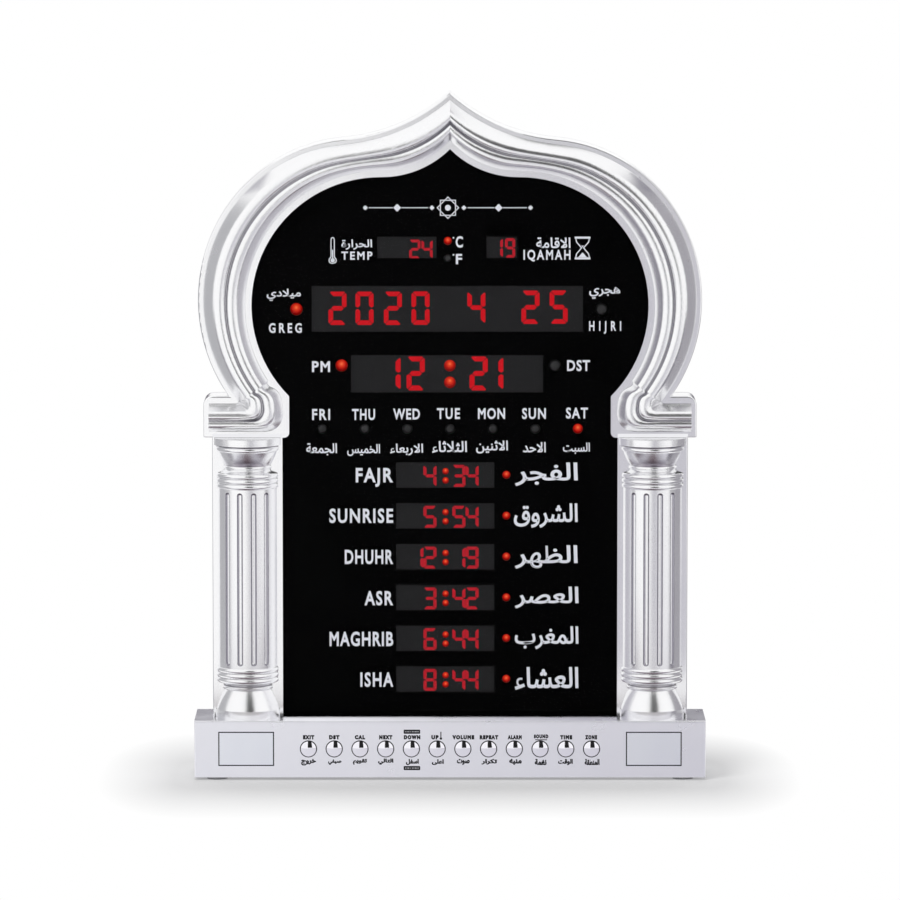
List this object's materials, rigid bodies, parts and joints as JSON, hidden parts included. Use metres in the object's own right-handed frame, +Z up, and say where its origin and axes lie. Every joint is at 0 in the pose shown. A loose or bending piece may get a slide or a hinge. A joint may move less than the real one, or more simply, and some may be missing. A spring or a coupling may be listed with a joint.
{
  "type": "prayer time clock",
  "caption": "Desk clock shaped like a pointed arch niche with fluted half columns on a plinth with a row of push keys; shows date, time and prayer times.",
  "frame": {"origin": "on the ground under the middle of the clock", "axes": "+Z up, +Y from the face to the back, +X to the right of someone who reads the face"},
  "size_m": [0.298, 0.05, 0.4],
  "materials": {
    "silver": "satin metallic paint on moulded ABS",
    "plinth_silver": "satin metallic paint on moulded ABS",
    "trim": "satin metallic film",
    "chrome": "chromed ABS, polished",
    "face": "clear acrylic, polished",
    "mask": "black printed film",
    "display": "smoked grey face",
    "lamp_lit": "red diffused epoxy",
    "lamp_dark": "smoked, not lit",
    "board": "green solder mask on glass fibre laminate",
    "chip": "black moulded epoxy",
    "cell": "nickel plated steel can",
    "black_plastic": "fine grain",
    "back": "fine grain moulded ABS",
    "rubber": "matt",
    "silicone": "matt silicone",
    "ribbon": "ribbon cable sheath",
    "steel": "zinc plated",
    "magnet": "sintered ferrite",
    "paper": "coated paper cone"
  },
  "bodies": {
    "clock": {"front_frame": "silver", "arch_moulding": "silver", "left_column": "silver", "right_column": "silver", "plinth": "plinth_silver", "left_plate": "trim", "right_plate": "trim", "face_sheet": "face", "face_mask": "mask", "date_display": "display", "time_display": "display", "temperature_display": "display", "countdown_display": "display", "prayer_displays": "display", "lit_lamps": "lamp_lit", "dark_lamps": "lamp_dark", "display_board": "board", "main_board": "board", "key_board": "board", "main_chips": "chip", "backup_cell": "cell", "pin_headers": "black_plastic", "cell_holder": "black_plastic", "power_socket": "black_plastic", "back_cover": "back", "plinth_cover": "back", "rubber_feet": "rubber", "key_mat": "silicone", "ribbon_cable": "ribbon", "cover_screws": "steel", "board_screws": "steel", "column_screws": "steel", "base_screws": "steel", "key_board_screws": "steel", "lid_screws": "steel", "speaker_basket": "steel", "speaker_magnet": "magnet", "speaker_cone": "paper"},
    "key_01": {"button_01": "chrome"},
    "key_02": {"button_02": "chrome"},
    "key_03": {"button_03": "chrome"},
    "key_04": {"button_04": "chrome"},
    "key_05": {"button_05": "chrome"},
    "key_06": {"button_06": "chrome"},
    "key_07": {"button_07": "chrome"},
    "key_08": {"button_08": "chrome"},
    "key_09": {"button_09": "chrome"},
    "key_10": {"button_10": "chrome"},
    "key_11": {"button_11": "chrome"},
    "key_12": {"button_12": "chrome"}
  },
  "joints": [
    {"name": "key_01_press", "type": "slide", "parent": "clock", "child": "key_01", "axis": [0, 1, 0], "range_m": [0, 0.0008], "stiffness_N_per_m": 900, "springref_m": -0.0004},
    {"name": "key_02_press", "type": "slide", "parent": "clock", "child": "key_02", "axis": [0, 1, 0], "range_m": [0, 0.0008], "stiffness_N_per_m": 900, "springref_m": -0.0004},
    {"name": "key_03_press", "type": "slide", "parent": "clock", "child": "key_03", "axis": [0, 1, 0], "range_m": [0, 0.0008], "stiffness_N_per_m": 900, "springref_m": -0.0004},
    {"name": "key_04_press", "type": "slide", "parent": "clock", "child": "key_04", "axis": [0, 1, 0], "range_m": [0, 0.0008], "stiffness_N_per_m": 900, "springref_m": -0.0004},
    {"name": "key_05_press", "type": "slide", "parent": "clock", "child": "key_05", "axis": [0, 1, 0], "range_m": [0, 0.0008], "stiffness_N_per_m": 900, "springref_m": -0.0004},
    {"name": "key_06_press", "type": "slide", "parent": "clock", "child": "key_06", "axis": [0, 1, 0], "range_m": [0, 0.0008], "stiffness_N_per_m": 900, "springref_m": -0.0004},
    {"name": "key_07_press", "type": "slide", "parent": "clock", "child": "key_07", "axis": [0, 1, 0], "range_m": [0, 0.0008], "stiffness_N_per_m": 900, "springref_m": -0.0004},
    {"name": "key_08_press", "type": "slide", "parent": "clock", "child": "key_08", "axis": [0, 1, 0], "range_m": [0, 0.0008], "stiffness_N_per_m": 900, "springref_m": -0.0004},
    {"name": "key_09_press", "type": "slide", "parent": "clock", "child": "key_09", "axis": [0, 1, 0], "range_m": [0, 0.0008], "stiffness_N_per_m": 900, "springref_m": -0.0004},
    {"name": "key_10_press", "type": "slide", "parent": "clock", "child": "key_10", "axis": [0, 1, 0], "range_m": [0, 0.0008], "stiffness_N_per_m": 900, "springref_m": -0.0004},
    {"name": "key_11_press", "type": "slide", "parent": "clock", "child": "key_11", "axis": [0, 1, 0], "range_m": [0, 0.0008], "stiffness_N_per_m": 900, "springref_m": -0.0004},
    {"name": "key_12_press", "type": "slide", "parent": "clock", "child": "key_12", "axis": [0, 1, 0], "range_m": [0, 0.0008], "stiffness_N_per_m": 900, "springref_m": -0.0004}
  ]
}
